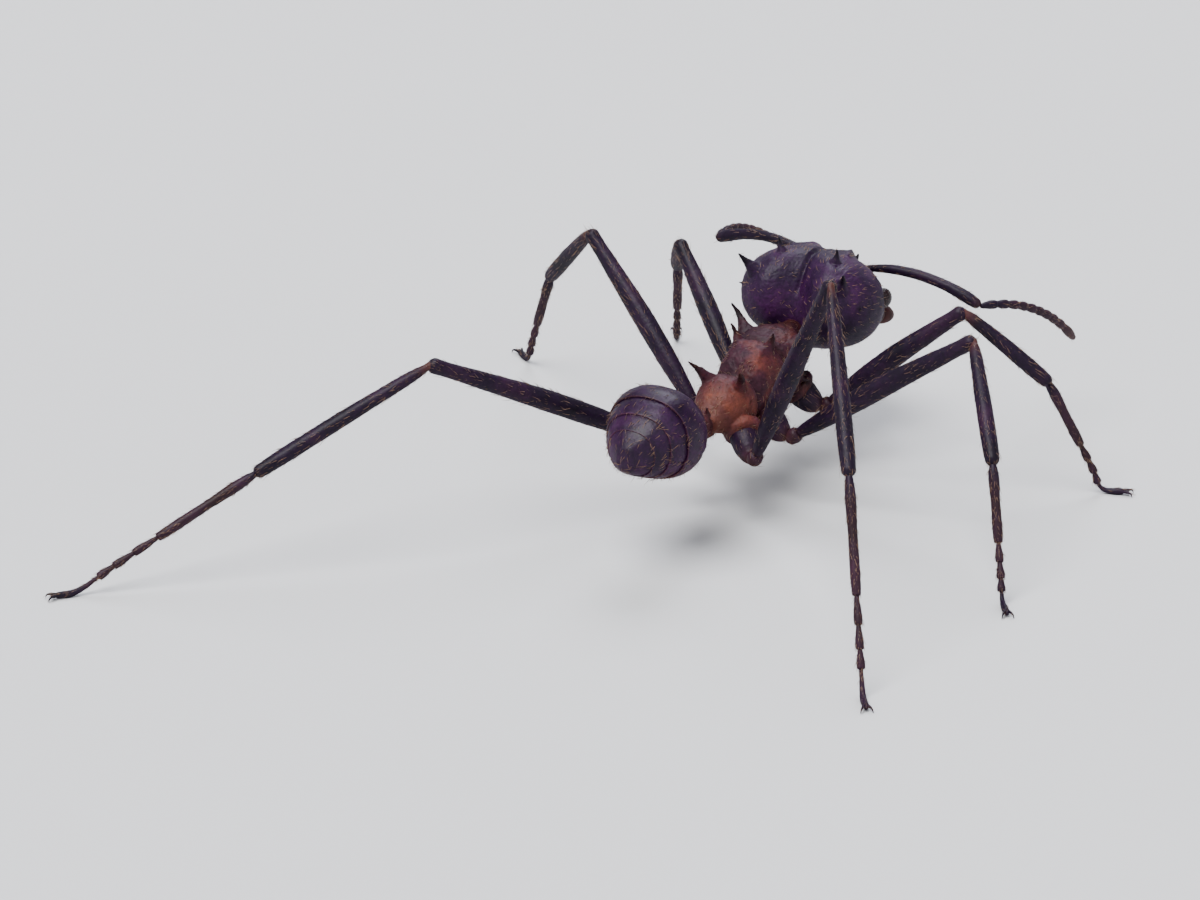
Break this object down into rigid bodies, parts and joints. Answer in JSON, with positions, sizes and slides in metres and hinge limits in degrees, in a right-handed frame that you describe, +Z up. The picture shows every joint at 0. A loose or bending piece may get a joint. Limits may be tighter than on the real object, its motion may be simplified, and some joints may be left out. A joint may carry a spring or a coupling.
{
  "type": "leafcutter ant, worker (Atta), life-size still model",
  "caption": "Life-size still model of a leafcutter ant worker in mid-stride, with heart-shaped head, toothed mandibles, spined thorax and long legs.",
  "frame": {"origin": "on the floor plane, under the middle of the ant's outline seen from above", "axes": "+Z up; the ant faces -Y, along its body; its left side is towards +X"},
  "size_m": [0.0168, 0.0192, 0.0064],
  "materials": {
    "head_shell": "satin, finely pitted, dark maroon",
    "thorax_shell": "satin, rough-grained, red-brown",
    "gaster_shell": "satin, finely pitted, wine red",
    "leg_shell": "satin, dark red-brown",
    "eye": "glossy, faceted, black",
    "mandible": "glossy, striated, near black at the teeth"
  },
  "bodies": {
    "root": {"gaster_1": "gaster_shell", "gaster_2": "gaster_shell", "gaster_3": "gaster_shell", "gaster_4": "gaster_shell", "head": "head_shell", "left_antenna_funiculus": "leg_shell", "left_antenna_scape": "leg_shell", "left_eye": "eye", "left_front_coxa": "leg_shell", "left_front_femur": "leg_shell", "left_front_tarsus": "leg_shell", "left_front_tibia": "leg_shell", "left_hind_coxa": "leg_shell", "left_hind_femur": "leg_shell", "left_hind_tarsus": "leg_shell", "left_hind_tibia": "leg_shell", "left_mandible": "mandible", "left_mid_coxa": "leg_shell", "left_mid_femur": "leg_shell", "left_mid_tarsus": "leg_shell", "left_mid_tibia": "leg_shell", "mesothorax": "thorax_shell", "petiole": "thorax_shell", "postpetiole": "thorax_shell", "pronotum": "thorax_shell", "propodeum": "thorax_shell", "right_antenna_funiculus": "leg_shell", "right_antenna_scape": "leg_shell", "right_eye": "eye", "right_front_coxa": "leg_shell", "right_front_femur": "leg_shell", "right_front_tarsus": "leg_shell", "right_front_tibia": "leg_shell", "right_hind_coxa": "leg_shell", "right_hind_femur": "leg_shell", "right_hind_tarsus": "leg_shell", "right_hind_tibia": "leg_shell", "right_mandible": "mandible", "right_mid_coxa": "leg_shell", "right_mid_femur": "leg_shell", "right_mid_tarsus": "leg_shell", "right_mid_tibia": "leg_shell"}
  },
  "joints": []
}
